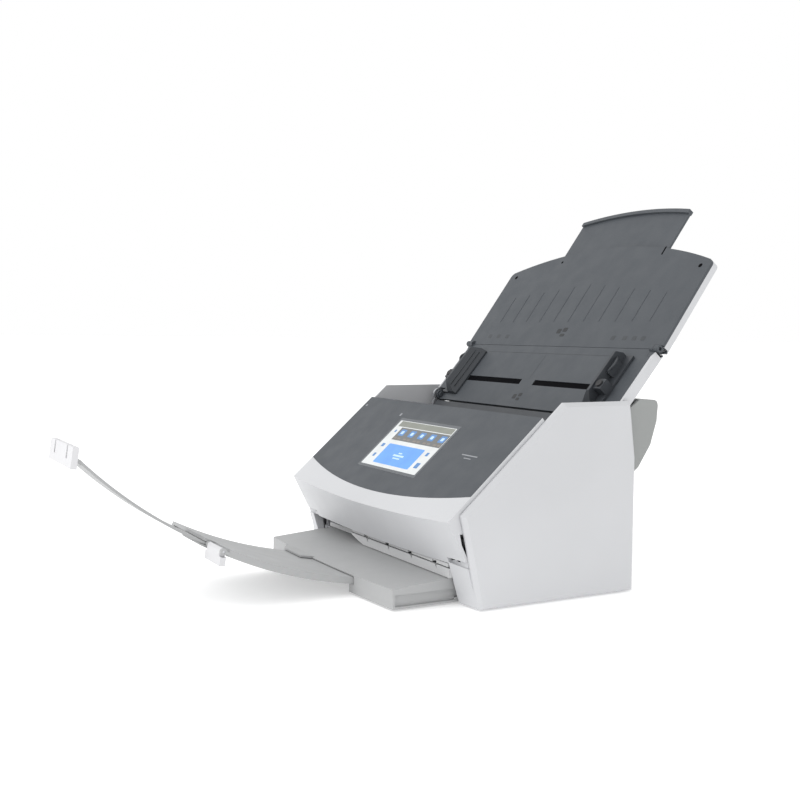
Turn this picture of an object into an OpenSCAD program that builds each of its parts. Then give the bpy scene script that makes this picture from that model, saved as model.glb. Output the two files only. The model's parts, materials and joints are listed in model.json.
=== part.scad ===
// Sheet fed document scanner, opened for use. Millimetres, +Z up, +Y to the rear, +X to the
// right as seen by the user in front. The origin lies on the desk, below the middle of the whole
// opened object. Profiles are drawn as [y, z] points measured from the middle of the case's
// depth, and placed() then moves every piece to the origin.

/* [Case] */
// Width over the two side covers
case_w = 292; // [288:1:296]
// Height of the side covers
case_h = 152; // [151:0.5:153]
// Thickness of a side cover
side_t = 5; // [4.5:0.1:5.2]
// Height of the rubber feet
foot_h = 2; // [1.8:0.1:2]

/* [Feeder] */
// Slope of the paper chute above the horizontal, degrees
chute_slope = 49.3; // [49:0.1:49.6]
// Slope of the document cover above the horizontal, degrees
cover_slope = 53.6; // [53:0.1:54]
// Length of the chute from its hinge to the fold
chute_len = 66.8; // [66:0.1:67.5]
// Length of the document cover at its centre
cover_len = 115; // [112:1:117]
// Length of the cover extension that shows beyond the cover
slide_out = 45; // [40:1:46]

/* [Rollers] */
// Radius of the driven rollers
roller_r = 9; // [8.5:0.1:9]
// Radius of the idle rollers
idler_r = 6; // [5.5:0.1:6]
// Radius of the steel roller shafts
shaft_r = 3; // [2.8:0.1:3.2]

/* [Output tray] */
// Radius that the two tray extensions are bent to
arc_r = 350; // [345:1:355]
// Half width of the tray
tray_half = 115; // [114:0.5:115]
// Half width of the first extension
ext1_half = 57; // [55:0.5:57]
// Half width of the second extension
ext2_half = 22; // [20:0.5:22]

/* [Hidden] */
$fn = 96;

// Distance from the middle of the case's depth back to the middle of the whole opened object
middle_y = -64.85;

white = [0.88, 0.88, 0.89];
light_grey = [0.62, 0.63, 0.62];
slate = [0.36, 0.38, 0.41];
black = [0.1, 0.1, 0.11];
steel = [0.72, 0.73, 0.75];
board_green = [0.1, 0.35, 0.2];

// Small gaps: between parts that only pass each other, and in a running fit
gap = 0.4;
fit = 0.05;

half_w = case_w / 2;
inner_x = half_w - side_t;
rear_y = 80.5;
top_front = [9.25, case_h];
top_rear = [74.5, case_h];
chamfer_low = [rear_y, 107];
nose = [-80.7, 72];
toe = [-64.6, foot_h - 1];
panel_slope = atan2(top_front.y - nose.y, top_front.x - nose.x);

// Height of the control panel and the front band above the rims of the side covers
panel_v = 3;
panel_t = 3;
panel_rear_s = -20;
panel_front_s = -122;
panel_arc_r = 560;
ridge_s = -136.9;
band_arc_r = 1444;

screen_half = [50.6, 30];
screen_s = -70.5;

// Hinges: feeder chute, fold of the document cover, and front cover
chute_axis = [60.7, 143];
surface_v = -1;
front_axis = [-70, 41];
fold_axis = feed(chute_len, surface_v);

// Screws through the floor into the side covers
screw_x = 135;
screw_y = [-50, 64];

// Frame plates and what runs between them
frame_x0 = 126;
frame_t = 3;
inside_x = 125;
pick_u = -49;
feed_u = -77;
eject_u = -125;
driven_v = surface_v - roller_r;
idle_v = surface_v + 0.3 + idler_r;
brake_r = 9;
brake_v = surface_v + 0.3 + brake_r;
path_gap = 2.7;
bend_u = -129;
bend_r = 50.6;
bend_gap = 4.6;

// Gear train and belt
gear_m = 1;
pinion_z = 12;
reducer_z = 36;
motor_at = [52, 45];
mesh_angle = 142;
reducer_at = motor_at + (gear_m * (pinion_z + reducer_z) / 2 + 0.1) * [cos(mesh_angle), sin(mesh_angle)];
pulley_r = 7;
gear_x = -134.6;
belt_x = -139.4;

// Rack and pinion behind the chute
rack_m = 1.5;
rack_z = 12;
rack_u = 24;
rack_reach = 104;
rack_v = -7.6;
rack_t = 2;
guide_x = 108;

// Output tray and its extensions
tray_front_y = -121;
tray_rear_y = -52;
arc_c = [-74.2, 360.5];
tray_bow_r = 1444;
ext1_a = [6, 26.9];
ext1_t = 5.2;
channel_t = 6.6;
ext2_a = [19, 45.1];
ext2_r = arc_r + 2.7;
ext2_t = 2;
flap_t = 4.4;
flap_lug = 3;
middle_x = [ext2_half + 1, ext1_half];
middle_end = ext1_a.y - 1.5;
end_half = 38;
middle_pivot = on_arc(arc_r + 3.2, middle_end + 0.7);
end_pivot = on_arc(ext2_r + 1.6, ext2_a.y + 1.35);

// Helpers ---------------------------------------------------------------------------------

function world_of(origin, slope, u, v) =
    [origin.x + u * cos(slope) - v * sin(slope), origin.y + u * sin(slope) + v * cos(slope)];
function feed(u, v) = world_of(chute_axis, chute_slope, u, v);
function rim(s, v) = world_of(top_front, panel_slope, s, v);
function on_arc(r, a) = [arc_c.x - r * sin(a), arc_c.y - r * cos(a)];

module placed() {
    translate([0, -middle_y, 0]) children();
}

// Extrudes a [y, z] profile along X
module along_x(x0, x1) {
    translate([x0, 0, 0]) rotate([90, 0, 90]) linear_extrude(x1 - x0) children();
}

// The same on both sides of the centre plane
module both_sides() {
    for (side = [0, 1]) mirror([side, 0, 0]) children();
}

module rod(at, r, x0, x1) {
    along_x(x0, x1) translate(at) circle(r);
}

// Frames whose second axis runs up a sloping surface and whose third is its normal
module in_chute() {
    translate([0, chute_axis.x, chute_axis.y]) rotate([chute_slope, 0, 0]) children();
}

module in_cover() {
    translate([0, fold_axis.x, fold_axis.y]) rotate([cover_slope, 0, 0]) children();
}

module in_panel() {
    translate([0, top_front.x, top_front.y]) rotate([panel_slope, 0, 0]) children();
}

module box(low, high) {
    translate(low) cube(high - low);
}

// Part of a ring between two angles, measured at the arc's centre from straight down to the front
module arc_band(r0, r1, a0, a1) {
    reach = 1.2 * r1;
    translate(arc_c) intersection() {
        difference() {
            circle(r1, $fn = 360);
            circle(r0, $fn = 360);
        }
        polygon([[0, 0], [-reach * sin(a0), -reach * cos(a0)], [-reach * sin(a1), -reach * cos(a1)]]);
    }
}

// Involute spur gear outline with teeth thinned for running clearance
function involute(rb, roll, turn) =
    rb * [cos(turn + roll) + roll * PI / 180 * sin(turn + roll),
        sin(turn + roll) - roll * PI / 180 * cos(turn + roll)];

module gear_outline(m, z, thin = 0.12, top = 0.9) {
    rp = m * z / 2;
    rb = rp * cos(20);
    ra = rp + top * m;
    rf = rp - 1.2 * m;
    at_pitch = tan(20) * 180 / PI - 20;
    half_tooth = 90 / z - thin / rp * 180 / PI / 2 + at_pitch;
    end_roll = sqrt(pow(ra / rb, 2) - 1) * 180 / PI;
    steps = 3;
    circle(max(rf, 0.5), $fn = 4 * z);
    for (tooth = [0 : z - 1]) rotate(tooth * 360 / z) polygon(concat(
        [rf * 0.9 * [cos(half_tooth), -sin(half_tooth)]],
        [for (k = [0 : steps]) involute(rb, end_roll * k / steps, -half_tooth)],
        [for (k = [steps : -1 : 0]) let (p = involute(rb, end_roll * k / steps, -half_tooth)) [p.x, -p.y]],
        [rf * 0.9 * [cos(half_tooth), sin(half_tooth)]]));
}

// Straight rack whose pitch line is the X axis, teeth towards +Y, one tooth centred on x = 0
module rack_outline(m, x0, x1, back, thin = 0.15) {
    pitch = PI * m;
    half_pitch = pitch / 4 - thin / 2;
    rise = 0.9 * m;
    drop = 1.15 * m;
    translate([x0, -back]) square([x1 - x0, back - drop]);
    for (k = [ceil(x0 / pitch + 0.5) : floor(x1 / pitch - 0.5)]) translate([k * pitch, 0])
        polygon([[-half_pitch - drop * tan(20), -drop - 0.01], [half_pitch + drop * tan(20), -drop - 0.01],
            [half_pitch - rise * tan(20), rise], [-half_pitch + rise * tan(20), rise]]);
}

// Case --------------------------------------------------------------------------------------

module side_profile() {
    polygon([toe, nose, top_front, top_rear, chamfer_low, [rear_y, toe.y]]);
}

// Side cover with two bosses that the floor screws pull on
module side_cover() {
    bevel = 3;
    hull() {
        along_x(inner_x, half_w - bevel) side_profile();
        along_x(half_w - bevel, half_w) offset(delta = -bevel) side_profile();
    }
    for (y = screw_y) difference() {
        box([screw_x - 3.2, y - 4, foot_h + 2], [inner_x + 0.5, y + 4, 13]);
        translate([screw_x, y, foot_h]) cylinder(r = 1.5, h = 9);
    }
}

module right_side_cover() {
    color(white) placed() side_cover();
}

module left_side_cover() {
    color(white) placed() mirror([1, 0, 0]) side_cover();
}

// Floor with its side walls, tray rails and cross wall
module base_housing() {
    rail_x = tray_half + 1.2;
    color(white) placed() difference() {
        union() {
            box([-inner_x, -61.8, foot_h], [inner_x, 77.4, foot_h + 2]);
            both_sides() {
                box([frame_x0 + frame_t, -60, foot_h], [frame_x0 + frame_t + 2.4, 74, 30]);
                box([rail_x, -64, foot_h], [rail_x + 1.7, 4, 21]);
                box([tray_half - 1.6, -64, 5.6], [rail_x + 0.1, -55, 10.4]);
                box([129, 74, foot_h], [inner_x, 77.4, 60]);
                box([129, -61.8, foot_h], [inner_x, -59.6, 20]);
            }
            box([-frame_x0 + 0.1, 66, foot_h + 1], [frame_x0 - 0.1, 69, 9]);
        }
        box([-rail_x, -66, -1], [rail_x, -8, foot_h + 2.1]);
        both_sides() for (y = screw_y) translate([screw_x, y, 0]) cylinder(r = 1.6, h = 9);
        box([-ext1_half - 3, 60, foot_h + 2], [ext1_half + 3, 80, 12]);
    }
}

module rear_cover() {
    port_z = 22;
    color(white) placed() difference() {
        along_x(-inner_x, inner_x) polygon([[77.5, foot_h + 0.2], [rear_y, foot_h + 0.2], chamfer_low,
            [77.2, 132], [74.7, 132], [77.5, 107]]);
        translate([-96, 70, port_z]) rotate([-90, 0, 0]) cylinder(r = 4.7, h = 20);
        box([-76.5, 70, port_z - 6.1], [-63.5, 90, port_z + 6.1]);
        box([108, 70, 30], [115, 90, 34.5]);
        for (k = [0 : 9]) box([-40 + 9 * k, 70, 84], [-36 + 9 * k, 90, 98]);
    }
}

// Curved housing behind the feeder's hinge
module rear_hood() {
    half = 138;
    skin = [[89.4, 152.6], [104.6, 152], [107.2, 150.4], [108, 147.5], [107, 135], [101, 116], [89, 98.5],
        [rear_y, 92]];
    lining = [[rear_y, 96.5], [87.4, 101], [98.8, 117.2], [104.5, 135.8], [105.5, 147.3], [104.2, 149.6],
        [89.6, 150.1]];
    color(light_grey) placed() {
        along_x(-half, half) polygon(concat(skin, lining));
        both_sides() along_x(half - 2.5, half)
            polygon(concat(skin, [[rear_y, 107], [79.4, 133], [80, 146.5]]));
    }
}

// Front corners of the case, either side of the output opening
module corner_block(inner) {
    top_z = 36.6;
    intersection() {
        along_x(inner, inner_x) difference() {
            polygon([[-65.5, foot_h - 0.9], [-80, top_z], [-66, top_z], [-64, 26], [-62, foot_h - 0.9]]);
            translate(front_axis) circle(9.4);
        }
        translate([inner_x, -74.5, top_z]) rotate([0, 0, 5.1]) rotate([16.7, 0, 0])
            box([-60, 0, -60], [20, 40, 20]);
    }
}

module right_corner_block() {
    color(white) placed() corner_block(118);
}

module left_corner_block() {
    color(white) placed() mirror([1, 0, 0]) corner_block(130);
}

// Lip below the paper exit, notched along its top edge
module exit_lip() {
    front = -74.6;
    back = -72.4;
    low_z = 20.8;
    high_z = 27.8;
    color(light_grey) placed() difference() {
        union() {
            translate([0, back, 0]) rotate([90, 0, 0]) linear_extrude(back - front)
                polygon([[-26, low_z], [118, low_z], [118, high_z], [-50, high_z], [-46, high_z - 2]]);
            box([-118, -62.4, 21.4], [-28, -60.2, 25.2]);
            box([-34, front, 22.4], [-28, -60.2, 25.2]);
            box([116, -75, 21.2], [118, -60, 26.9]);
        }
        for (k = [0 : 3]) along_notch(-18 + 38.5 * k);
    }
}

module along_notch(x) {
    translate([x, -60, 0]) rotate([90, 0, 0]) linear_extrude(20)
        polygon([[-4.5, 32], [1.2, 32], [1.6, 24.4]]);
}

// Notched strip under the front cover's paper guide, just above the lip
module exit_comb() {
    color(light_grey) placed() difference() {
        box([-46, -74.6, 28.8], [116, -72.4, 31.5]);
        for (k = [0 : 3]) translate([-18 + 38.5 * k, 0, 0]) box([-5, -80, 28], [1.2, -70, 30.4]);
    }
}

module rubber_feet() {
    color(black) placed() both_sides() for (y = [-54, 68]) translate([125, y, 0])
        cylinder(r = 7, h = foot_h);
}

module floor_screws() {
    color(steel) placed() both_sides() for (y = screw_y) translate([screw_x, y, foot_h - 1.2]) {
        cylinder(r = 2.8, h = 1.2);
        cylinder(r = 1.5, h = 9);
    }
}

// Structure ---------------------------------------------------------------------------------

module frame_plate() {
    rear_post = [[74, foot_h + 2], [74, 96], [66, 118], [66, 139]];
    neck = [[54.6, 138], [50, 118], [20, 104], [-22, 78]];
    front_post = [[-52, 52], [-66, 46], [-74, 41], [-64.5, 38], [-60, 30], [-60, foot_h + 2]];
    along_x(frame_x0, frame_x0 + frame_t) difference() {
        union() {
            polygon(concat(rear_post, neck, front_post));
            translate(chute_axis) circle(6);
            translate(front_axis) circle(5);
        }
        translate(chute_axis) circle(shaft_r + fit);
        translate(front_axis) circle(2.5 + fit);
        for (u = [pick_u, feed_u, eject_u]) translate(feed(u, driven_v)) circle(5);
    }
}

module right_frame() {
    color(steel) placed() frame_plate();
}

// The left plate also holds the motor and the stub that the reduction gear turns on
module left_frame() {
    color(steel) placed() {
        mirror([1, 0, 0]) difference() {
            frame_plate();
            rod(motor_at, 5, frame_x0 - 1, frame_x0 + frame_t + 1);
        }
        rod(reducer_at, 2, belt_x, -frame_x0);
    }
}

// Curved sheet that carries the paper from the chute's foot to the exit
module guide_strip(v0, v1, r0, r1, u_top) {
    centre = feed(bend_u, surface_v + bend_r);
    polygon([feed(u_top, v0), feed(u_top, v1), feed(bend_u, v1), feed(bend_u, v0)]);
    translate(centre) intersection() {
        difference() {
            circle(r1, $fn = 180);
            circle(r0, $fn = 180);
        }
        polygon([[0, 0], 2 * bend_r * [sin(chute_slope), -cos(chute_slope)],
            2 * bend_r * [sin(chute_slope), -1], [0, -2 * bend_r]]);
    }
    translate([-74.6, centre.y - r1]) square([centre.x + 74.6, r1 - r0]);
}

module lower_paper_guide() {
    windows = 7.6;
    color(slate) placed() difference() {
        along_x(-inside_x, inside_x) guide_strip(surface_v - 2, surface_v, bend_r, bend_r + 2, -6.5);
        for (x = [-18, 18]) in_chute() box([x - 11, pick_u - windows, -9], [x + 11, pick_u + windows, 5]);
        for (u = [feed_u, eject_u], x = [-85, -30, 30, 85])
            in_chute() box([x - 9, u - windows, -9], [x + 9, u + windows, 5]);
        in_chute() box([-112, -109, -9], [112, -95, 5]);
        rod(feed(eject_u, driven_v), shaft_r + 1.2, -130, 130);
        both_sides() box([115.9, -80, 20], [130, -59.9, 30]);
        box([-120, -80, 20], [-27.9, -60.1, 30]);
        box([-50, -80, 20], [120, -72.3, 30]);
    }
}

module rear_scan_unit() {
    color(black) placed() in_chute() difference() {
        box([-inside_x, -114, -24], [inside_x, -90, surface_v - 2.1]);
        box([-112.2, -109.2, -6], [112.2, -94.8, 0]);
    }
}

module rear_scan_glass() {
    color([0.7, 0.85, 0.9]) placed() in_chute() box([-112, -109, -6], [112, -95, surface_v - 0.2]);
}

module roller_bushes() {
    color(white) placed() both_sides() for (u = [pick_u, feed_u, eject_u])
        along_x(frame_x0 - 0.8, frame_x0 + frame_t) translate(feed(u, driven_v)) difference() {
            circle(5);
            circle(shaft_r + fit);
        }
}

module drive_motor() {
    color(steel) placed() difference() {
        union() {
            rod(motor_at, 14, -frame_x0, -94);
            rod(motor_at, 4.9, -frame_x0 - frame_t, -frame_x0);
        }
        rod(motor_at, 1.5 + fit, -frame_x0 - frame_t - 1, -110);
    }
}

module motor_pinion() {
    color(steel) placed() {
        along_x(gear_x, gear_x + 4) translate(motor_at) rotate(mesh_angle) gear_outline(gear_m, pinion_z);
        rod(motor_at, 1.5, gear_x, -112);
    }
}

module reduction_gear() {
    color(white) placed() difference() {
        union() {
            along_x(gear_x, gear_x + 4) translate(reducer_at)
                rotate(mesh_angle + 180 + 180 / reducer_z) gear_outline(gear_m, reducer_z);
            rod(reducer_at, pulley_r, belt_x, gear_x);
        }
        rod(reducer_at, 2 + fit, -150, -100);
    }
}

// Closed loop round pulleys of equal radius; the shapes between centres are a polygon
module belt_area(r, centres) {
    polygon(centres);
    for (k = [0 : len(centres) - 1]) let (a = centres[k], b = centres[(k + 1) % len(centres)], d = b - a) {
        translate(a) circle(r);
        translate(a) rotate(atan2(d.y, d.x)) translate([0, -r]) square([norm(d), 2 * r]);
    }
}

module drive_belt() {
    loop = [feed(pick_u, driven_v), feed(eject_u, driven_v), reducer_at];
    color(black) placed() along_x(belt_x + 0.2, gear_x - 0.4) difference() {
        belt_area(pulley_r + 1.4, loop);
        belt_area(pulley_r + 0.1, loop);
    }
}

module main_board() {
    color(board_green) placed() {
        difference() {
            box([-110, 72, 12], [100, 73.6, 60]);
            box([-101, 70, 17], [-91, 75, 27]);
            box([-76.4, 70, 16], [-63.6, 75, 28]);
        }
        box([-30, 66, 20], [10, 72, 44]);
        box([40, 68, 30], [70, 72, 50]);
        both_sides() box([95, 73.6, 50], [99, 77.5, 54]);
    }
}

module dc_jack() {
    port_z = 22;
    color(black) placed() translate([-96, 66, port_z]) rotate([-90, 0, 0]) difference() {
        union() {
            translate([-5.5, -5, 0]) cube([11, 10, 6]);
            cylinder(r = 4.6, h = 14.2);
        }
        translate([0, 0, 4]) cylinder(r = 2.75, h = 12);
    }
}

module usb_socket() {
    port_z = 22;
    color(steel) placed() difference() {
        box([-76, 66, port_z - 5.6], [-64, 80.2, port_z + 5.6]);
        box([-75, 69, port_z - 4.6], [-65, 81, port_z + 4.6]);
    }
}

// Rollers -----------------------------------------------------------------------------------

module driven_shaft(u) {
    at = feed(u, driven_v);
    color(steel) placed() {
        rod(at, shaft_r, belt_x, frame_x0 + frame_t + 1);
        rod(at, pulley_r, belt_x, gear_x);
    }
}

module driven_rollers(u, across, width) {
    color(black) placed() for (x = across) along_x(x - width / 2, x + width / 2)
        translate(feed(u, driven_v))
        difference() {
            circle(roller_r - 0.05);
            circle(shaft_r);
        }
}

module pick_shaft() {
    driven_shaft(pick_u);
}

module pick_rollers() {
    driven_rollers(pick_u, [-18, 18], 20);
}

module feed_shaft() {
    driven_shaft(feed_u);
}

module feed_rollers() {
    driven_rollers(feed_u, [-85, -30, 30, 85], 16);
}

module eject_shaft() {
    driven_shaft(eject_u);
}

module eject_rollers() {
    driven_rollers(eject_u, [-85, -30, 30, 85], 16);
}

module brake_roller() {
    at = feed(pick_u, brake_v);
    color(black) placed() {
        rod(at, brake_r - 0.05, -29, 29);
        rod(at, 2, -inside_x + 0.6, inside_x - 0.6);
    }
}

module idlers(u) {
    at = feed(u, idle_v);
    color(white) placed() {
        rod(at, 2, -inside_x + 0.6, inside_x - 0.6);
        for (x = [-85, -30, 30, 85]) rod(at, idler_r - 0.05, x - 6, x + 6);
    }
}

module feed_idlers() {
    idlers(feed_u);
}

module eject_idlers() {
    idlers(eject_u);
}

// Front cover -------------------------------------------------------------------------------

// Outline of the control panel in its own plane, grown by some margin
module panel_outline(margin) {
    half = inner_x - 1 + margin;
    intersection() {
        translate([-half, panel_front_s - margin])
            square([2 * half, panel_rear_s - panel_front_s + margin]);
        translate([0, panel_front_s + panel_arc_r]) circle(panel_arc_r + margin, $fn = 360);
    }
}

// Cone that shapes the bowed front face: upright axis, widest at the ridge
module front_cone(inset) {
    ridge_z = 63.3;
    lean = 0.511;
    low_r = band_arc_r - inset - ridge_z * lean;
    translate([0, band_arc_r - 95, 0]) cylinder(r1 = low_r, r2 = low_r + 200 * lean, h = 200, $fn = 720);
}

module front_skin(half, skin) {
    low_z = 32;
    rear_s = panel_rear_s - 0.3;
    difference() {
        intersection() {
            along_x(-half, half) polygon([rim(rear_s, panel_v), rim(-150, panel_v), [-100, low_z],
                [-60, low_z], rim(rear_s, -30)]);
            front_cone(0);
        }
        intersection() {
            along_x(-half - 1, half + 1) polygon([rim(-18, -skin), rim(-150, -skin), [-100, low_z - 1],
                [-60, low_z - 1], rim(-18, -45)]);
            front_cone(skin);
        }
    }
}

module front_cover_shell() {
    half = inner_x - gap;
    skin = 3;
    cheek = [feed(-30, 0.4), rim(-24, -skin), rim(-124, -skin), [-87, 60], [-78, 40], [-75, 35.4],
        [-66, 34.6], [-52, 36.5], feed(-128, 2)];
    end_wall = [rim(-24, -1), rim(-150, -1), [-100, 40], [-76, 40], [-80, 58], rim(-120, -20), rim(-24, -9)];
    color(white) placed() difference() {
        intersection() {
            union() {
                front_skin(half, skin);
                both_sides() along_x(inside_x - 3, inside_x) polygon(cheek);
                both_sides() rod(front_axis, 5, inside_x - 3, inside_x);
                both_sides() along_x(half - 2.6, half) polygon(end_wall);
            }
            front_cone(0);
        }
        in_panel() linear_extrude(20) panel_outline(0.15);
        in_panel() box([-48, screen_s - 27.5, -10], [48, screen_s + 27.5, 10]);
        both_sides() {
            rod(front_axis, 2.5, inside_x - 4, inside_x + 1);
            rod(front_axis, 6.6, inside_x + 0.3, frame_x0 + frame_t + 0.7);
            rod(feed(pick_u, brake_v), 2 + fit, inside_x - 3.5, inside_x + 1);
            for (u = [feed_u, eject_u]) rod(feed(u, idle_v), 2 + fit, inside_x - 3.5, inside_x + 1);
            box([117.6, -90, 28], [half + 1, -72.4, 37]);
        }
    }
}

module cover_pivot_pins() {
    color(steel) placed() both_sides() rod(front_axis, 2.5, inside_x - 3, frame_x0 + frame_t);
}

module control_panel() {
    color(slate) placed() in_panel() difference() {
        linear_extrude(panel_t) panel_outline(0);
        translate([0, screen_s, -1]) linear_extrude(10) square(2 * screen_half + [0.2, 0.2], center = true);
    }
}

module touch_screen() {
    color([0.75, 0.85, 0.95]) placed() in_panel() {
        translate([0, screen_s, 0]) linear_extrude(panel_t + 0.1) square(2 * screen_half, center = true);
        box([-47.6, screen_s - 27.2, -3], [47.6, screen_s + 27.2, 0]);
    }
}

module display_board() {
    color(board_green) placed() in_panel() {
        box([-46, screen_s - 26, -6], [46, screen_s + 26, -4.4]);
        box([-20, screen_s - 10, -4.4], [20, screen_s + 10, -3]);
    }
}

// Floor of the feed hopper, between the control panel's rear edge and the paper path
module hopper_floor() {
    color(slate) placed() difference() {
        along_x(-inside_x + 3.1, inside_x - 3.1) polygon([rim(-20.5, -3.1), rim(-24, -3.1), [-10, 121.4],
            [37.2, 121.4], feed(-26.4, 4.4), [-7.4, 124]]);
        in_chute() box([-30, pick_u - 11, -2], [30, pick_u + 10, 19]);
    }
}

module upper_paper_guide() {
    v0 = surface_v + path_gap;
    color(slate) placed() difference() {
        along_x(-inside_x + 3.1, inside_x - 3.1)
            guide_strip(v0, v0 + 2, bend_r - bend_gap - 2, bend_r - bend_gap, -32);
        in_chute() box([-30.5, pick_u - 9.6, -2], [30.5, pick_u + 9.6, 18]);
        for (u = [feed_u, eject_u], x = [-85, -30, 30, 85])
            in_chute() box([x - 7, u - 6.6, -1], [x + 7, u + 6.6, 12]);
        in_chute() box([-112.5, -109.5, -1], [112.5, -94.5, 6]);
        rod(feed(eject_u, idle_v), 2.6, -130, 130);
        rod(feed(feed_u, idle_v), 2.6, -130, 130);
        both_sides() box([117.6, -90, 20], [130, -58, 40]);
        box([-130, -90, 20], [130, -70.6, 40]);
    }
}

module front_scan_unit() {
    v0 = surface_v + path_gap + 2.05;
    color(black) placed() in_chute() difference() {
        box([-inside_x + 3, -114, v0], [inside_x - 3, -90, 26]);
        box([-112.2, -109.2, v0 - 1], [112.2, -94.8, v0 + 3]);
    }
}

module front_scan_glass() {
    color([0.7, 0.85, 0.9]) placed() in_chute()
        box([-112, -109, surface_v + path_gap + 0.3], [112, -95, surface_v + path_gap + 5.05]);
}

// Feeder chute and guides -------------------------------------------------------------------

module chute_panel() {
    slot = [10, 97];
    color(slate) placed() in_chute() difference() {
        union() {
            box([-136.9, 9, -3.5], [136.9, chute_len - 0.4, surface_v]);
            box([-inside_x + 0.2, -4.4, -3.5], [inside_x - 0.2, 9, surface_v]);
            both_sides() rotate([90, 0, 90]) translate([0, 0, inside_x - 2.6]) cylinder(r = 4.4, h = 2.4);
        }
        both_sides() {
            box([slot.x, rack_u - 3, -4], [slot.y + 8, rack_u + 3, 0]);
            rotate([90, 0, 90]) translate([0, 0, inside_x - 5]) cylinder(r = shaft_r, h = 10);
            box([132.3, chute_len - 8, -4], [140, chute_len + 1, 0]);
        }
    }
}

module chute_pins() {
    color(steel) placed() both_sides() rod(chute_axis, shaft_r, inside_x - 5, frame_x0 + frame_t + 0.8);
}

module chute_shell() {
    half = 139.5;
    floor_v = [-9.6, -8.3];
    web_v = [floor_v.y - 0.1, -6.6];
    color(white) placed() in_chute() difference() {
        union() {
            box([-half, 9, floor_v.x], [half, chute_len - 0.4, floor_v.y]);
            box([-half, 9, floor_v.x], [half, 10.6, -3.55]);
            both_sides() {
                box([half - 2.5, 9, floor_v.x], [half, chute_len - 3.4, surface_v]);
                box([116, 12, floor_v.y - 0.1], [118, 60, -3.55]);
                fold_lug(half - 7, half - 2.5);
            }
            fold_knuckle(half - 2.6);
            box([-half + 2.6, chute_len - 1.4, web_v.x], [half - 2.6, chute_len - 0.4, web_v.y]);
        }
        both_sides() rotate([90, 0, 90]) translate([chute_len, surface_v, half - 8])
            cylinder(r = 1.5, h = 8);
        both_sides() box([inside_x - 0.5, 0, -20], [inside_x + 5, 8.9, 10]);
        translate([0, rack_u, 0]) box([-2.05, -2.05, -20], [2.05, 2.05, -8]);
    }
}

// Ear that holds a fold pin, webbed to the side wall behind it
module fold_lug(x0, x1) {
    rotate([90, 0, 90]) translate([chute_len, surface_v, x0]) cylinder(r = 3, h = x1 - x0);
    box([x0, chute_len - 7.8, surface_v - 3], [x1, chute_len, surface_v]);
    box([x1 - 0.1, chute_len - 7.8, surface_v - 3], [x1 + 0.4, chute_len - 3.5, surface_v]);
}

// Quarter round that closes the gap at the fold when the cover is shut
module fold_knuckle(half) {
    rotate([90, 0, 90]) translate([0, 0, -half]) linear_extrude(2 * half) translate([chute_len, surface_v])
        difference() {
            intersection() {
                circle(6.5);
                polygon([[-1.4, 0], [-1.4, -10], [8, -10], [8, -6.1]]);
            }
            circle(4.9);
        }
}

module fold_pins() {
    color(steel) placed() both_sides() rod(fold_axis, 1.5, 132.5, 140.6);
}

module guide_pinion() {
    color(white) placed() in_chute() translate([0, rack_u, rack_v]) {
        linear_extrude(rack_t) rotate(90 + 180 / rack_z) gear_outline(rack_m, rack_z, 0.2);
        translate([0, 0, -1.4]) cylinder(r = 2, h = 1.6);
    }
}

// One side guide: paper wall, foot plate, and the rack that meets the pinion behind the chute
module side_guide() {
    outer_x = guide_x + 12;
    low_x = guide_x - 10;
    low_u = 3;
    high_u = 57;
    top_v = 12;
    foot_v = surface_v + 0.3;
    // Wall whose inner face leans outwards, with a sloping lower and upper end
    intersection() {
        translate([0, high_u, 0]) rotate([90, 0, 0]) linear_extrude(high_u - low_u)
            polygon([[low_x, foot_v], [outer_x, foot_v], [outer_x, foot_v + 2], [guide_x + 3, foot_v + 2],
                [guide_x + 3, top_v], [guide_x, top_v], [low_x, foot_v + 1.4]]);
        rotate([90, 0, 90]) linear_extrude(200) polygon([[low_u, foot_v - 1], [low_u, 3],
            [low_u + 9, top_v + 1], [high_u - 5, top_v + 1], [high_u, 5], [high_u, foot_v - 1]]);
    }
    // Grip and the clip that covers the foot of the rack's arm
    box([guide_x + 2.9, rack_u - 9, foot_v + 1.9], [outer_x, rack_u + 1, 10]);
    box([guide_x + 2.9, rack_u + 9, foot_v + 1.9], [guide_x + 6, rack_u + 24, 8]);
    box([low_x, rack_u - 2.4, rack_v], [rack_reach, rack_u + 2.4, foot_v + 0.1]);
}

// Rack on the far side of the pinion from the chute's hinge, and the arm that reaches it
module guide_rack() {
    box([98, rack_u, rack_v], [rack_reach, rack_u + 12.6, rack_v + rack_t]);
    translate([0, rack_u + rack_m * rack_z / 2 + 0.1, rack_v]) linear_extrude(rack_t) mirror([0, 1, 0])
        rack_outline(rack_m, -12, rack_reach, 3.5);
}

module right_guide() {
    color(slate) placed() in_chute() {
        side_guide();
        guide_rack();
    }
}

// The left rack is the right one turned half round the pinion
module left_guide() {
    color(slate) placed() in_chute() {
        mirror([1, 0, 0]) side_guide();
        translate([0, 2 * rack_u, 0]) rotate(180) guide_rack();
    }
}

// Document cover ----------------------------------------------------------------------------

// Outline of the document cover in its own plane
module cover_outline(half, length) {
    top_r = 433;
    corner = 6;
    corner_y = length - top_r + sqrt(pow(top_r - corner, 2) - pow(half - corner, 2));
    intersection() {
        translate([0, length - top_r]) circle(top_r, $fn = 360);
        union() {
            translate([-half, 0.6]) square([2 * half, corner_y - 0.6]);
            translate([-half + corner, 0]) square([2 * (half - corner), length + 1]);
            for (side = [-1, 1]) translate([side * (half - corner), corner_y]) circle(corner);
        }
    }
}

module document_panel() {
    color(slate) placed() in_cover() translate([0, 0, -2.5]) linear_extrude(2.5) difference() {
        cover_outline(143, cover_len);
        both_sides() translate([132, -1]) square([12, 4.6]);
    }
}

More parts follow.
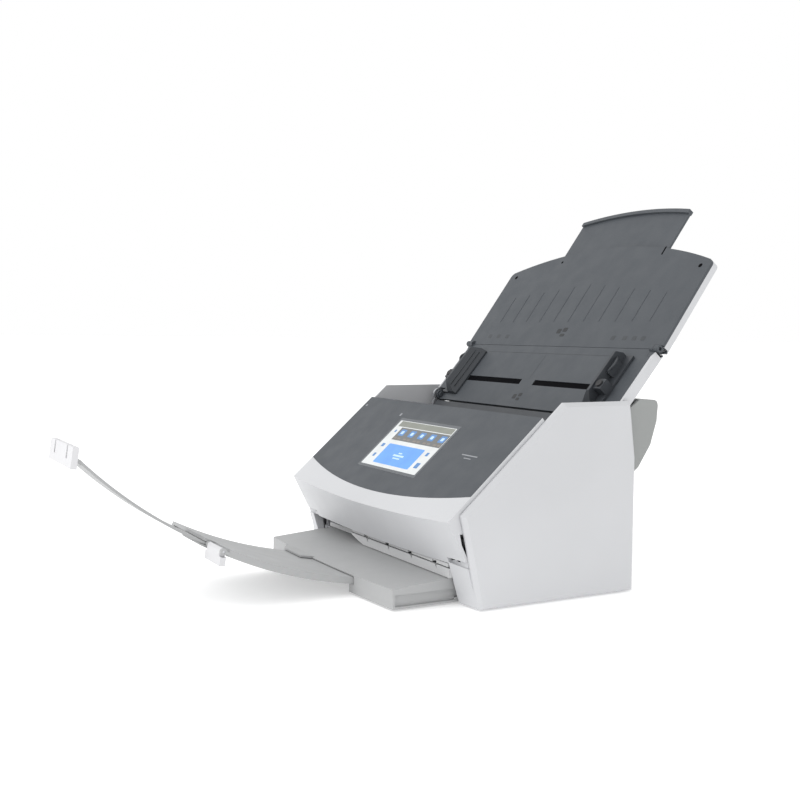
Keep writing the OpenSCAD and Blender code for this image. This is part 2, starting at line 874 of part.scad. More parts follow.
module document_shell() {
    half = 143;
    wall = 1.6;
    floor_v = [-8.2, -6.8];
    ext_half = 75.5;
    color(white) placed() in_cover() difference() {
        translate([0, 0, floor_v.x]) linear_extrude(-2.55 - floor_v.x) cover_outline(half, cover_len);
        translate([0, 0, floor_v.y]) linear_extrude(12) cover_outline(half - wall, cover_len - wall);
        box([-150, -2, floor_v.y], [150, 3, 1]);
        box([-ext_half, 80, floor_v.y + 0.1], [ext_half, 140, -2]);
        both_sides() rotate([90, 0, 90]) translate([0, 0, 130]) cylinder(r = 1.55, h = 20);
    }
    color(white) placed() in_cover() both_sides() difference() {
        rotate([90, 0, 90]) translate([0, 0, 137.4]) linear_extrude(5) union() {
            circle(3);
            polygon([[0, -3], [6, -5], [6, -2.6], [1, -2.6]]);
        }
        rotate([90, 0, 90]) translate([0, 0, 130]) cylinder(r = 1.5 + fit, h = 20);
    }
}

module cover_extension() {
    top = cover_len + slide_out;
    top_r = 433;
    half = 75;
    lip = 4;
    color(slate) placed() in_cover() {
        translate([0, 0, -5.2]) linear_extrude(2) intersection() {
            translate([-half, 62]) square([2 * half, top - 62]);
            translate([0, top - top_r]) circle(top_r, $fn = 360);
        }
        translate([0, 0, -6]) linear_extrude(5) difference() {
            intersection() {
                translate([-half, top - 40]) square([2 * half, 40]);
                translate([0, top - top_r]) circle(top_r, $fn = 360);
            }
            translate([0, top - lip - top_r]) circle(top_r, $fn = 360);
        }
    }
}

// Output tray -------------------------------------------------------------------------------

module output_tray() {
    bow_y = tray_front_y - 4.6;
    top_z = 16.2;
    recess = [[tray_half - 2.2, -119, 3], [tray_half + 1, -68, 11.8]];
    tab = [[-88, -119], [-57, -134.5], [-19, -136], [-19, -119]];
    color(light_grey) placed() {
        difference() {
            intersection() {
                along_x(-tray_half, tray_half) polygon([[bow_y, 1.4], [bow_y, top_z - 0.4], [-77, 19.9],
                    [tray_rear_y, 21.4], [tray_rear_y, 5.2], [-56, 1.4]]);
                translate([0, tray_bow_r + bow_y, 0]) cylinder(r = tray_bow_r, h = 40, $fn = 720);
            }
            along_x(-ext1_half - 0.6, ext1_half + 0.6) arc_band(arc_r - 0.6, arc_r + ext1_t + 0.6, -8, 12);
            along_x(-ext1_half + 7, ext1_half - 7) arc_band(arc_r + 5, arc_r + 20, -8, 12);
            both_sides() {
                box(recess.x, recess.y);
                box([tray_half - 2.2, -70, 5], [tray_half + 1, tray_rear_y + 1, 11]);
            }
        }
        intersection() {
            along_x(-90, 0) arc_band(arc_r - 2.2, arc_r - 0.6, 6.5, 12);
            linear_extrude(40) polygon(tab);
        }
    }
}

module tray_extension() {
    channel = [ext2_r - 0.4, ext2_r + ext2_t + 0.4];
    color(light_grey) placed() difference() {
        along_x(-ext1_half, ext1_half) arc_band(arc_r, arc_r + channel_t, ext1_a.x, ext1_a.y);
        both_sides() along_x(ext2_half + 2.4, ext1_half + 1)
            arc_band(arc_r + ext1_t, arc_r + channel_t + 1, ext1_a.x - 1, ext1_a.y + 1);
        along_x(-ext2_half - 0.5, ext2_half + 0.5)
            arc_band(channel.x, channel.y, ext1_a.x - 1, ext1_a.y + 1);
        along_x(-ext1_half + 5, ext2_half - 1)
            arc_band(channel.x + 0.3, channel.y - 0.8, ext1_a.y - 0.5, ext1_a.y + 2);
        along_x(middle_x.x - 0.5, ext1_half + 1) arc_band(arc_r - 1, arc_r + 9, middle_end, ext1_a.y + 1);
    }
    color(light_grey) placed() flap_lugs(middle_pivot, middle_end, middle_x.x, middle_x.y, 6);
}

module tray_tongue() {
    color(light_grey) placed() {
        along_x(-ext2_half, ext2_half) arc_band(ext2_r, ext2_r + ext2_t, ext2_a.x, ext2_a.y);
        flap_lugs(end_pivot, ext2_a.y, -ext2_half, ext2_half, 11);
    }
}

// Flap that hangs from a pin between two lugs, with a head that rises above the pin
module flap(at, angle, x0, x1, lug_x, length, head) {
    side = 0.3;
    difference() {
        along_x(x0, x1) translate(at) union() {
            circle(flap_t / 2);
            rotate(angle) translate([-head, -flap_t / 2]) square([head + length, flap_t]);
        }
        for (x = [lug_x.x, lug_x.y - flap_lug]) {
            rod(at, 4.3, x - side, x + flap_lug + side);
            along_x(x - side, x + flap_lug + side) translate(at) rotate(angle) translate([-10, -3.2])
                square([10, 6.4]);
        }
        rod(at, 1 + fit, lug_x.x - 1, lug_x.y + 1);
    }
}

// Lugs that hold a flap's pin at the end of an extension
module flap_lugs(at, end_angle, x0, x1, reach) {
    for (x = [x0, x1 - flap_lug]) along_x(x, x + flap_lug) translate(at) difference() {
        union() {
            circle(2.4);
            rotate(-end_angle) translate([0, -1.2]) square([reach, 2.4]);
        }
        circle(1);
    }
}

module middle_stopper() {
    color(white) placed() flap(middle_pivot, 262, middle_x.x, middle_x.y, middle_x, 10.5, 0);
}

module end_stopper() {
    color(white) placed() flap(end_pivot, 262, -end_half, end_half, [-ext2_half, ext2_half], 9.5, 6);
}

module middle_pin() {
    color(steel) placed() rod(middle_pivot, 1, middle_x.x + 0.5, middle_x.y - 0.5);
}

module end_pin() {
    color(steel) placed() rod(end_pivot, 1, -ext2_half + 0.5, ext2_half - 0.5);
}

base_housing();
left_side_cover();
right_side_cover();
rear_cover();
rear_hood();
left_corner_block();
right_corner_block();
exit_lip();
rubber_feet();
floor_screws();
left_frame();
right_frame();
lower_paper_guide();
rear_scan_unit();
rear_scan_glass();
roller_bushes();
drive_motor();
drive_belt();
main_board();
dc_jack();
usb_socket();
motor_pinion();
reduction_gear();
pick_shaft();
pick_rollers();
feed_shaft();
feed_rollers();
eject_shaft();
eject_rollers();
front_cover_shell();
cover_pivot_pins();
control_panel();
touch_screen();
display_board();
exit_comb();
hopper_floor();
upper_paper_guide();
front_scan_unit();
front_scan_glass();
brake_roller();
feed_idlers();
eject_idlers();
chute_panel();
chute_shell();
chute_pins();
fold_pins();
guide_pinion();
left_guide();
right_guide();
document_panel();
document_shell();
cover_extension();
output_tray();
tray_extension();
tray_tongue();
middle_stopper();
end_stopper();
middle_pin();
end_pin();
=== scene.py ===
"""Sheet fed document scanner, opened for use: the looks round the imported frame. Metres, row frame."""
import json
import math

import bmesh
import bpy
from mathutils import Matrix, Vector


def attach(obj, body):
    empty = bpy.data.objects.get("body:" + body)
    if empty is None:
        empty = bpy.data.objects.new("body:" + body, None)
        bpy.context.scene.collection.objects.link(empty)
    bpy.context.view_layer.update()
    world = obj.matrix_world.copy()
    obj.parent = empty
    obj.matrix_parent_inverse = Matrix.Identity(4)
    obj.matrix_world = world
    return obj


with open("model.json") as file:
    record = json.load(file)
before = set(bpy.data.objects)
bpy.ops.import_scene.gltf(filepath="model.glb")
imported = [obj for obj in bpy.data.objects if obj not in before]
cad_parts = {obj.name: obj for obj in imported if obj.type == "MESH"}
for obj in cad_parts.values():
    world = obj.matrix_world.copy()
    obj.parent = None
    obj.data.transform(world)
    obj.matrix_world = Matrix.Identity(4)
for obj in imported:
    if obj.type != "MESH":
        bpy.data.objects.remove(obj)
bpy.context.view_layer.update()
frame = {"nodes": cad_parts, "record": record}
NODES = frame["nodes"]
MM = 0.001
# The middle of the case's depth lies this far behind the middle of the opened object, in millimetres
CASE_Y = 64.85


def at(x, y, z):
    """A point given in millimetres from the middle of the case's depth, in the row frame."""
    return Vector((x, y + CASE_Y, z)) * MM


# Camera and light ------------------------------------------------------------------------------

CAM_AT = at(803.1, -494.7, 204.4)
CAM_YAW, CAM_PITCH, CAM_ROLL = 61.21, 3.58, 0.56
CAM_LENS, CAM_SENSOR = 48.85, 36
KEY_AT, KEY_TARGET = (-0.5, -1.3, 1.3), (0, 0, 0.1)
KEY_SIZE, KEY_WATTS = (1.6, 1.2), 9


def make_camera():
    """A camera low in front of the scanner's right corner, leaning a little to one side."""
    yaw, pitch, roll = map(math.radians, (CAM_YAW, CAM_PITCH, CAM_ROLL))
    right = Vector((math.cos(yaw), math.sin(yaw), 0))
    back = Vector((math.sin(yaw) * math.cos(pitch), -math.cos(yaw) * math.cos(pitch), math.sin(pitch)))
    up = back.cross(right)
    r = right * math.cos(roll) + up * math.sin(roll)
    u = up * math.cos(roll) - right * math.sin(roll)
    turn = Matrix((r, u, back)).transposed().to_4x4()
    data = bpy.data.cameras.new("camera")
    data.lens = CAM_LENS
    data.sensor_width = CAM_SENSOR
    data.clip_start, data.clip_end = 0.02, 30
    cam = bpy.data.objects.new("camera", data)
    cam.matrix_world = Matrix.Translation(CAM_AT) @ turn
    bpy.context.scene.collection.objects.link(cam)
    bpy.context.scene.camera = cam


def make_light():
    """An even white surround and one large soft key over the front left."""
    world = bpy.data.worlds.new("studio")
    bpy.context.scene.world = world
    world.use_nodes = True
    sky = world.node_tree.nodes["Background"]
    sky.inputs["Color"].default_value = (1, 1, 1, 1)
    sky.inputs["Strength"].default_value = 1.0
    data = bpy.data.lights.new("key", "AREA")
    data.shape = "RECTANGLE"
    data.size, data.size_y = KEY_SIZE
    data.energy = KEY_WATTS
    lamp = bpy.data.objects.new("key", data)
    lamp.location = KEY_AT
    lamp.rotation_euler = (Vector(KEY_TARGET) - Vector(KEY_AT)).to_track_quat("-Z", "Y").to_euler()
    bpy.context.scene.collection.objects.link(lamp)
    bpy.context.scene.view_settings.view_transform = "Standard"


# Materials -------------------------------------------------------------------------------------

def new_material(name):
    m = bpy.data.materials.new(name)
    m.use_nodes = True
    t = m.node_tree
    return m, t, t.nodes["Principled BSDF"]


def link(t, a, b):
    t.links.new(a, b)


def object_place(t):
    return t.nodes.new("ShaderNodeTexCoord").outputs["Object"]


def noise(t, scale, detail, where):
    n = t.nodes.new("ShaderNodeTexNoise")
    n.inputs["Scale"].default_value = scale
    n.inputs["Detail"].default_value = detail
    link(t, where, n.inputs["Vector"])
    return n.outputs["Fac"]


def spread(t, value, low, high, from_low=0.3, from_high=0.7):
    """Stretches the middle of a noise value's range over low to high."""
    n = t.nodes.new("ShaderNodeMapRange")
    link(t, value, n.inputs["Value"])
    for key, v in (("From Min", from_low), ("From Max", from_high), ("To Min", low), ("To Max", high)):
        n.inputs[key].default_value = v
    return n.outputs["Result"]


def mix_colour(t, fac, a, b):
    """Mixes two colours, each a tuple or another node's output."""
    n = t.nodes.new("ShaderNodeMix")
    n.data_type = "RGBA"
    link(t, fac, n.inputs["Factor"])
    for socket, v in ((n.inputs["A"], a), (n.inputs["B"], b)):
        if isinstance(v, (tuple, list)):
            socket.default_value = (*v, 1)
        else:
            link(t, v, socket)
    return n.outputs["Result"]


def stretch(t, where, scale):
    n = t.nodes.new("ShaderNodeMapping")
    n.inputs["Scale"].default_value = scale
    link(t, where, n.inputs["Vector"])
    return n.outputs["Vector"]


def bump(t, height, strength, distance=0.0004):
    n = t.nodes.new("ShaderNodeBump")
    n.inputs["Strength"].default_value = strength
    n.inputs["Distance"].default_value = distance
    link(t, height, n.inputs["Height"])
    return n.outputs["Normal"]


def shade(colour, k):
    return tuple(min(1, c * k) for c in colour)


def moulded(name, colour, rough=(0.42, 0.55), grain=0.05, grain_scale=2600, spec=0.5, drift=0.03):
    """Moulded plastic with a spark-eroded grain, a slow drift in tone and a patchy sheen."""
    m, t, p = new_material(name)
    where = object_place(t)
    slow = spread(t, noise(t, 9, 2, where), 0, 1)
    link(t, mix_colour(t, slow, shade(colour, 1 - drift), shade(colour, 1 + drift)), p.inputs["Base Color"])
    link(t, spread(t, noise(t, 60, 4, where), *rough), p.inputs["Roughness"])
    p.inputs["Specular IOR Level"].default_value = spec
    link(t, bump(t, noise(t, grain_scale, 2, where), grain), p.inputs["Normal"])
    return m


def metal(name, colour, rough=(0.22, 0.4), lines=(400, 400, 400), strength=0.15):
    """Metal with fine machining lines and small stains that change its sheen."""
    m, t, p = new_material(name)
    where = object_place(t)
    brushed = noise(t, 1, 3, stretch(t, where, lines))
    stains = spread(t, noise(t, 35, 5, where), 0, 1)
    link(t, mix_colour(t, stains, shade(colour, 0.88), colour), p.inputs["Base Color"])
    link(t, spread(t, brushed, *rough), p.inputs["Roughness"])
    p.inputs["Metallic"].default_value = 1.0
    link(t, bump(t, brushed, strength, 0.0001), p.inputs["Normal"])
    return m


def rubber(name, colour):
    """Dull rubber with a ground surface and a light bloom of dust."""
    m, t, p = new_material(name)
    where = object_place(t)
    dust = spread(t, noise(t, 120, 5, where), 0, 1, 0.45, 0.75)
    link(t, mix_colour(t, dust, colour, shade(colour, 1.7)), p.inputs["Base Color"])
    link(t, spread(t, noise(t, 300, 3, where), 0.75, 0.92), p.inputs["Roughness"])
    p.inputs["Specular IOR Level"].default_value = 0.25
    link(t, bump(t, noise(t, 1500, 3, where), 0.25), p.inputs["Normal"])
    return m


def circuit(name):
    """Green solder mask over a faint net of tracks."""
    m, t, p = new_material(name)
    where = object_place(t)
    cells = t.nodes.new("ShaderNodeTexVoronoi")
    cells.distance = "MANHATTAN"
    cells.inputs["Scale"].default_value = 260
    link(t, where, cells.inputs["Vector"])
    tracks = spread(t, cells.outputs["Distance"], 0, 1, 0.25, 0.45)
    link(t, mix_colour(t, tracks, (0.012, 0.11, 0.035), (0.02, 0.17, 0.06)), p.inputs["Base Color"])
    link(t, spread(t, noise(t, 80, 3, where), 0.28, 0.42), p.inputs["Roughness"])
    link(t, bump(t, tracks, 0.2, 0.0001), p.inputs["Normal"])
    return m


def glass(name):
    """Clear scan window with a slight green cast and a few smears."""
    m, t, p = new_material(name)
    where = object_place(t)
    smears = spread(t, noise(t, 40, 5, stretch(t, where, (1, 4, 1))), 0, 1)
    link(t, mix_colour(t, smears, (0.30, 0.40, 0.40), (0.36, 0.45, 0.45)), p.inputs["Base Color"])
    link(t, spread(t, smears, 0.04, 0.16, 0, 1), p.inputs["Roughness"])
    p.inputs["Transmission Weight"].default_value = 0.55
    p.inputs["IOR"].default_value = 1.5
    link(t, bump(t, smears, 0.02, 0.0001), p.inputs["Normal"])
    return m


def screen_glass(name, colour, glow=0.25):
    """A patch of the lit display: a glowing colour that varies a little, behind smooth glass."""
    m, t, p = new_material(name)
    where = object_place(t)
    drift = spread(t, noise(t, 90, 3, where), 0, 1)
    tone = mix_colour(t, drift, shade(colour, 0.93), shade(colour, 1.05))
    link(t, tone, p.inputs["Base Color"])
    link(t, tone, p.inputs["Emission Color"])
    p.inputs["Emission Strength"].default_value = glow
    link(t, spread(t, noise(t, 200, 4, where), 0.14, 0.24), p.inputs["Roughness"])
    link(t, bump(t, noise(t, 900, 2, where), 0.02, 0.0001), p.inputs["Normal"])
    return m


WHITE = moulded("white_case", (0.585, 0.592, 0.608), rough=(0.38, 0.5))
BRIGHT = moulded("white_stopper", (0.66, 0.66, 0.675))
# Painted shade: the rear hood's side lies in shade, and this grey darkens the case's white plastic to match
# it.
HOOD_SHADE = moulded("hood_painted_shade", (0.30, 0.31, 0.305))
PALE = moulded("tray_grey", (0.40, 0.405, 0.408), rough=(0.5, 0.62))
LIP = moulded("lip_grey", (0.52, 0.525, 0.53))
SLATE = moulded("slate", (0.066, 0.074, 0.084), rough=(0.46, 0.6), grain=0.09, grain_scale=1900, spec=0.4)
DARK = moulded("guide_dark", (0.045, 0.05, 0.057), rough=(0.4, 0.52), grain=0.05, spec=0.4)
BLACK = moulded("black_plastic", (0.018, 0.018, 0.02), rough=(0.45, 0.6))
ACETAL = moulded("acetal", (0.6, 0.6, 0.57), rough=(0.3, 0.4), grain=0.02)
STEEL = metal("ground_steel", (0.56, 0.57, 0.59), lines=(3, 900, 900))
SCREW = metal("nickel_screw", (0.5, 0.5, 0.5), rough=(0.25, 0.4))
SHEET = metal("galvanised", (0.5, 0.51, 0.53), rough=(0.35, 0.6), lines=(60, 60, 60))
CAN = metal("zinc_can", (0.42, 0.42, 0.44), rough=(0.3, 0.45))
BRASS = metal("brass", (0.6, 0.43, 0.16), rough=(0.25, 0.4))
FEET = rubber("foot_rubber", (0.02, 0.02, 0.021))
ROLLER = rubber("roller_rubber", (0.05, 0.05, 0.055))
BELT = rubber("belt_rubber", (0.025, 0.025, 0.026))
BOARD = circuit("solder_mask")
GLASS = glass("scan_glass")
# Painted shade: a near black tone laid in slots and holes for the shade inside them.
HOLE_SHADE = moulded("painted_hole_shade", (0.003, 0.003, 0.004), rough=(0.8, 0.9), spec=0.05)
MARK = moulded("raised_mark", (0.018, 0.02, 0.023), rough=(0.5, 0.6))
# Painted shade: a tone a little darker than slate, laid beside each rib for the shade it casts.
RIB_SHADE = moulded("painted_rib_shade", (0.056, 0.063, 0.072), rough=(0.5, 0.6))
SHINE = moulded("pressed_mark", (0.3, 0.31, 0.33), rough=(0.4, 0.5))
SCREEN = screen_glass("screen_ground", (0.62, 0.64, 0.64), 0.2)
BAR = screen_glass("screen_bar", (0.20, 0.21, 0.18), 0.15)
BUTTON = screen_glass("screen_button", (0.09, 0.27, 0.66), 0.35)
TILE = screen_glass("screen_tile", (0.07, 0.2, 0.45), 0.2)
CAPTION = screen_glass("screen_caption", (0.17, 0.15, 0.13))
ICON = screen_glass("screen_icon", (0.42, 0.6, 0.9), 0.3)
BAND = screen_glass("screen_band", (0.12, 0.125, 0.125), 0.15)
SEAM = moulded("moulded_seam", (0.045, 0.05, 0.056), rough=(0.5, 0.65), grain=0.03)
PANEL_GLASS = moulded("panel_glass", (0.09, 0.1, 0.112), rough=(0.2, 0.3), grain=0.01, spec=0.5)

BY_SLOT = {
    "white_shell": WHITE, "grey_plastic": HOOD_SHADE, "light_grey": PALE, "slate_panel": SLATE,
    "dark_guide": DARK, "black_plastic": BLACK, "screen_face": SCREEN, "rubber_black": FEET,
    "roller_rubber": ROLLER, "belt_rubber": BELT, "screw_steel": SCREW, "sheet_steel": SHEET,
    "shaft_steel": STEEL, "motor_can": CAN, "brass_gear": BRASS, "white_bush": ACETAL,
    "circuit_board": BOARD, "scan_glass": GLASS,
}
OWN_LOOK = {
    "exit_lip": LIP, "exit_comb": LIP, "middle_stopper": BRIGHT, "end_stopper": BRIGHT,
    "left_frame": SHEET, "right_frame": SHEET, "touch_screen": PANEL_GLASS,
}

# Rounding of the moulded edges, as a modifier over the CAD node's own mesh: width in mm, segments
ROUNDING = {
    "left_side_cover": (2.6, 5), "right_side_cover": (2.6, 5), "front_cover_shell": (1.6, 4),
    "control_panel": (0.7, 3), "chute_shell": (0.6, 2), "document_shell": (0.6, 3),
    "document_panel": (0.9, 3), "cover_extension": (0.5, 2), "chute_panel": (0.4, 2),
    "rear_hood": (1.6, 4), "output_tray": (0.8, 3), "tray_extension": (0.5, 2),
    "tray_tongue": (0.5, 2), "middle_stopper": (0.6, 3), "end_stopper": (0.8, 3),
    "left_guide": (0.6, 2), "right_guide": (0.6, 2), "hopper_floor": (0.6, 2),
    "exit_lip": (0.4, 2), "exit_comb": (0.3, 2), "left_corner_block": (0.8, 3),
    "right_corner_block": (0.8, 3), "rubber_feet": (0.6, 2), "rear_cover": (0.8, 3),
    "touch_screen": (0.2, 2), "usb_socket": (0.3, 2), "dc_jack": (0.3, 2),
}
# Edges that turn by less than this stay as they are
ROUNDING_ANGLE = 24


def round_edges(piece, width, segments):
    edge = piece.modifiers.new("rounding", "BEVEL")
    edge.width = width * MM
    edge.segments = segments
    edge.limit_method = "ANGLE"
    edge.angle_limit = math.radians(ROUNDING_ANGLE)
    edge.use_clamp_overlap = True
    edge.harden_normals = True
    for face in piece.data.polygons:
        face.use_smooth = True


def dress_nodes():
    for part in frame["record"]["subparts"]:
        name = part["node"]
        piece = NODES[name]
        piece.data.materials.clear()
        piece.data.materials.append(OWN_LOOK.get(name, BY_SLOT[part["material_slot"]]))
        if name in ROUNDING:
            round_edges(piece, *ROUNDING[name])


def darken_near(node, centre):
    """The moulded knuckles round a hinge's axis are dark, whatever shell they grow from."""
    piece = NODES[node]
    piece.data.materials.append(SLATE)
    for face in piece.data.polygons:
        point = piece.matrix_world @ face.center
        if math.hypot(point.y - centre.y, point.z - centre.z) < KNUCKLE_REACH * MM:
            face.material_index = 1


# Profile frames of the case -------------------------------------------------------------------

# Origins are (y, z) from the middle of the case's depth, in millimetres, and slopes are in degrees
CHUTE_AXIS = (60.7, 143.0)
CHUTE_SLOPE = 49.3
FOLD_U = 66.8
COVER_SLOPE = 53.6
PANEL_TOP = (9.25, 152.0)
PANEL_SLOPE = 41.65
# Height of the chute's paper surface in its own frame, and of the glass over the panel's plane
SURFACE = -1.0
GLASS_V = 3.1
KNUCKLE_REACH = 9.0


def slanted(origin, slope, u, v):
    """The (y, z) of a point u along a slope and v above it."""
    c, n = math.cos(math.radians(slope)), math.sin(math.radians(slope))
    return (origin[0] + u * c - v * n, origin[1] + u * n + v * c)


def on_chute(x, u, v):
    return at(x, *slanted(CHUTE_AXIS, CHUTE_SLOPE, u, v))


def on_cover(x, p, v):
    fold = slanted(CHUTE_AXIS, CHUTE_SLOPE, FOLD_U, SURFACE)
    return at(x, *slanted(fold, COVER_SLOPE, p, v))


def on_panel(x, s, v):
    return at(x, *slanted(PANEL_TOP, PANEL_SLOPE, s, v))


def dress_knuckles():
    for node in ("chute_shell", "document_shell", "document_panel", "fold_pins"):
        darken_near(node, on_cover(0, 0, 0))
    for node in ("chute_shell", "chute_pins"):
        darken_near(node, on_chute(0, 0, 0))


# Detail pieces ---------------------------------------------------------------------------------

DISC_SIDES = 24
TUBE_SIDES = 10


def add_piece(name, bm, look, body, smooth=False):
    """Turns a bmesh into a named piece that moves with one body of the frame."""
    mesh = bpy.data.meshes.new(name)
    bmesh.ops.recalc_face_normals(bm, faces=bm.faces)
    bm.to_mesh(mesh)
    bm.free()
    for face in mesh.polygons:
        face.use_smooth = smooth
    mesh.materials.append(look)
    piece = bpy.data.objects.new(name, mesh)
    bpy.context.scene.collection.objects.link(piece)
    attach(piece, body)
    return piece


def plate_into(bm, where, outline, vs):
    """A closed plate between two heights of a profile frame."""
    low = [bm.verts.new(where(x, u, vs[0])) for x, u in outline]
    high = [bm.verts.new(where(x, u, vs[1])) for x, u in outline]
    bm.faces.new(low)
    bm.faces.new(high)
    for k in range(len(outline)):
        j = (k + 1) % len(outline)
        bm.faces.new((low[k], low[j], high[j], high[k]))


def arc(x, u, radius, start, sweep, steps):
    """Points of an arc round (x, u), from an angle in degrees on."""
    turns = [math.radians(start + sweep * k / steps) for k in range(steps + 1)]
    return [(x + radius * math.cos(a), u + radius * math.sin(a)) for a in turns]


def pad_outline(xs, us, corner):
    """A rectangle, its corners rounded where a radius is given."""
    if not corner:
        return [(xs[1], us[1]), (xs[0], us[1]), (xs[0], us[0]), (xs[1], us[0])]
    x0, x1, u0, u1 = xs[0] + corner, xs[1] - corner, us[0] + corner, us[1] - corner
    centres = ((x1, u1), (x0, u1), (x0, u0), (x1, u0))
    return [point for k, (x, u) in enumerate(centres) for point in arc(x, u, corner, 90 * k, 90, 4)]


def pads(name, where, rows, vs, look, body, corner=0.0):
    """One piece made of flat pads, each given by its two x and its two u."""
    bm = bmesh.new()
    for xs, us in rows:
        plate_into(bm, where, pad_outline(xs, us, corner), vs)
    return add_piece(name, bm, look, body)


def discs(name, where, rows, vs, look, body):
    """One piece made of round bosses or blind holes, each given by its x, its u and its radius."""
    bm = bmesh.new()
    for x, u, radius in rows:
        plate_into(bm, where, arc(x, u, radius, 0, 360, DISC_SIDES)[:-1], vs)
    return add_piece(name, bm, look, body)


def tube(name, points, radius, look, body):
    """A round bar bent through the given points."""
    bm = bmesh.new()
    section = [Vector((x * MM, y * MM, 0)) for x, y in arc(0, 0, radius, 0, 360, TUBE_SIDES)[:-1]]
    rings = []
    for k, point in enumerate(points):
        ahead = points[min(k + 1, len(points) - 1)] - points[max(k - 1, 0)]
        turn = ahead.to_track_quat("Z", "X").to_matrix()
        rings.append([bm.verts.new(point + turn @ corner) for corner in section])
    for one, two in zip(rings, rings[1:]):
        for a in range(TUBE_SIDES):
            b = (a + 1) % TUBE_SIDES
            bm.faces.new((one[a], one[b], two[b], two[a]))
    bm.faces.new(rings[0])
    bm.faces.new(rings[-1])
    return add_piece(name, bm, look, body, smooth=True)


def centred(x, half):
    return (x - half, x + half)


# Touch screen ----------------------------------------------------------------------------------

LIT_HALF, LIT_TOP, LIT_LOW = 47.6, -43.6, -97.5
TILE_X = [-27 + 17 * k for k in range(5)]
CAPTION_X = [x - 6.4 + 6.5 * k for x in TILE_X for k in range(2)]
CAPTION_LENGTH = 5.2


def layer(k):
    """Heights of the k-th layer of the picture over the display's glass."""
    return (GLASS_V - 0.05, GLASS_V + 0.05 + 0.03 * k)


def on_screen(name, rows, level, look, corner=0.0):
    pads("display_" + name, on_panel, rows, layer(level), look, "front_cover", corner)


def make_picture():
    """Status bar, a row of tiles with captions, side columns and the large start button."""
    on_screen("ground", [((-LIT_HALF, LIT_HALF), (LIT_LOW, LIT_TOP))], 0, SCREEN, 0.8)
    on_screen("bar", [((-44, 46.4), (LIT_TOP - 7, LIT_TOP - 0.6))], 1, BAR)
    on_screen("band", [((-35, 47), (-66.5, -51.5))], 1, BAND)
    on_screen("tiles", [(centred(x, 4.6), (-61, -53.4)) for x in TILE_X], 2, TILE, 1.2)
    on_screen("tile_icons", [(centred(x, 2.2), (-59, -55.4)) for x in TILE_X], 3, ICON, 0.8)
    on_screen("captions", [((x, x + CAPTION_LENGTH), (-65.2, -63.2)) for x in CAPTION_X], 2, CAPTION, 0.4)
    on_screen("button", [((-31, 31), (-94, -71))], 1, BUTTON, 1.6)
    sign = [(centred(0, 9), (-83.6, -81.6)), (centred(0, 6), (-86.4, -85)), (centred(0, 3), (-80.4, -79))]
    on_screen("button_sign", sign, 2, ICON, 0.6)
    left = [((-42, -37), (-76, -72)), ((-41, -37), (-88, -84)), ((-42, -39), (-58, -55))]
    right = [((37, 41), (-77, -73)), ((36, 42), (-91, -85))]
    on_screen("side_icons", left + right, 1, TILE, 0.6)


# Marks -----------------------------------------------------------------------------------------

# Height that a printed or pressed mark stands into and out of its surface
SUNK = 0.1
RIB_X = range(-110, 111, 22)
RIB_FOOT, RIB_LENGTH, RIB_TAPER = 28, 44, 0.12
SIZE_MARK_X = (-112, -97, -82, 77, 92, 104, 115)
SLOT_U = (21.2, 26.8)


def make_panel_marks():
    """Small plain marks where the panel is printed."""
    marks = [((-59.5, -56.5), (-38.5, -35.5)), ((-135.5, -132.5), (-32.5, -30.5)),
             ((84, 106), (-68.4, -67.4)), ((90, 100), (-71.4, -70.6))]
    pads("panel_marks", on_panel, marks, (2.98, 3.03), SHINE, "front_cover", 0.3)


def make_chute_marks():
    """Painted shade in the depths of the two slots, the moulded step lines and the arrow marks at the foot.
    """
    pads("chute_slot_depths", on_chute, [((10.5, 104.5), SLOT_U), ((-104.5, -10.5), SLOT_U)],
         (SURFACE - 0.5, SURFACE - 0.3), HOLE_SHADE, "chute", 0.8)
    pads("chute_lines", on_chute, [((-96, 96), (57.6, 58.2)), ((-0.25, 0.25), (28, 57))],
         (SURFACE - SUNK, SURFACE + 0.06), SEAM, "chute")
    pads("chute_foot_arrows", on_chute, [((-6, -1), (4.4, 9.6)), ((1, 6), (7.4, 11.4)), ((1, 6), (3, 6))],
         (SURFACE - SUNK, SURFACE + 0.1), MARK, "chute", 1.2)


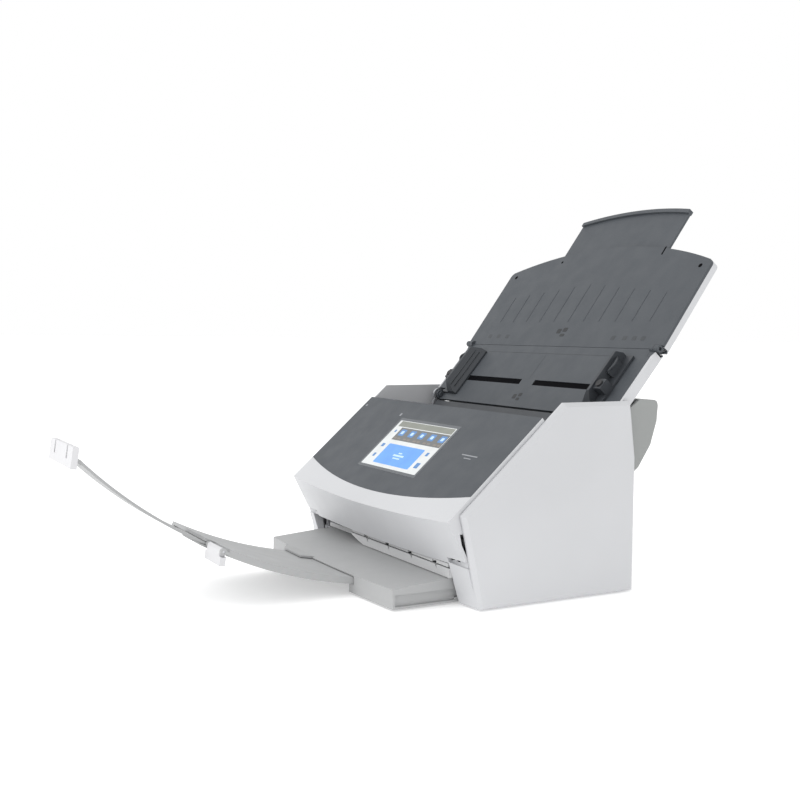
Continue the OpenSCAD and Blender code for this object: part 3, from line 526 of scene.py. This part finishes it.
def make_cover_marks():
    """Hole marks with painted shade, size marks, the arrows over the fold and the faint ribs with painted
    shade along one side.
    """
    holes = ((132, 85.5, 2.0), (-132, 85.5, 2.0), (-67, 101.5, 1.4))
    discs("cover_hole_marks", on_cover, holes, (-SUNK, 0.06), HOLE_SHADE, "document_cover")
    pads("cover_slit", on_cover, [((74.2, 76), (101, 110))], (-SUNK, 0.06), HOLE_SHADE, "document_cover", 0.6)
    pads("cover_size_marks", on_cover, [(centred(x, 2.6), (8, 12.4)) for x in SIZE_MARK_X],
         (-SUNK, 0.08), SEAM, "document_cover", 0.8)
    pads("cover_arrows", on_cover, [((-7, -1), (14.4, 19.6)), ((1, 7), (16.4, 21)), ((0.6, 7), (11, 14))],
         (-SUNK, 0.1), MARK, "document_cover", 0.9)
    spans = [(x, (RIB_FOOT, RIB_FOOT + RIB_LENGTH - abs(x) * RIB_TAPER)) for x in RIB_X]
    pads("cover_ribs", on_cover, [(centred(x, 0.5), span) for x, span in spans],
         (-SUNK, 0.22), SLATE, "document_cover", 0.4)
    # Painted shade along one side of each rib.
    pads("cover_rib_shades", on_cover, [((x + 0.5, x + 1.1), span) for x, span in spans],
         (-SUNK, 0.04), RIB_SHADE, "document_cover")


# Side guides -----------------------------------------------------------------------------------

RIDGES = ((101.2, 4.6), (104.0, 7.6))
RIDGE_U = (8, 52)
HOOP_STEPS = 12


def hoop_point(side, k):
    """The hoop bows outwards and upwards over its length."""
    bow = math.sin(math.pi * k / HOOP_STEPS)
    return on_chute(side * (112 + 5.5 * bow), 34 + 15 * k / HOOP_STEPS, 7.6 + 2.4 * bow)


def make_guide_details(side, tag):
    """Two ridges on the slanting inner wall, the hoop over the grip and the grip's knob."""
    body = "guide_" + tag
    for k, (x, v) in enumerate(RIDGES):
        ends = [on_chute(side * x, u, v) for u in RIDGE_U]
        tube(f"{tag}_guide_ridge_{k}", ends, 0.45, DARK, body)
    hoop = [hoop_point(side, k) for k in range(HOOP_STEPS + 1)]
    tube(f"{tag}_guide_hoop", hoop, 1.1, DARK, body)
    discs(f"{tag}_guide_knob", on_chute, [(side * 115.5, 20, 3.2)], (9.9, 11.4), BLACK, body)


# Floor -----------------------------------------------------------------------------------------

FLOOR_SIZE = 60
FLOOR_GLOW = 0.3


def make_floor():
    """A plain pale floor, a hair under the feet, that glows enough to meet the surround."""
    bpy.ops.mesh.primitive_plane_add(size=FLOOR_SIZE, location=(0, 0, -0.0002))
    floor = bpy.context.object
    floor.name = "floor"
    look = moulded("floor_look", (0.92, 0.92, 0.92), rough=(0.8, 0.9), grain=0.0, spec=0.1, drift=0.004)
    shader = look.node_tree.nodes["Principled BSDF"]
    shader.inputs["Emission Color"].default_value = (1, 1, 1, 1)
    shader.inputs["Emission Strength"].default_value = FLOOR_GLOW
    floor.data.materials.append(look)


make_camera()
make_light()
dress_nodes()
dress_knuckles()
make_picture()
make_panel_marks()
make_chute_marks()
make_cover_marks()
make_guide_details(-1, "left")
make_guide_details(1, "right")
make_floor()
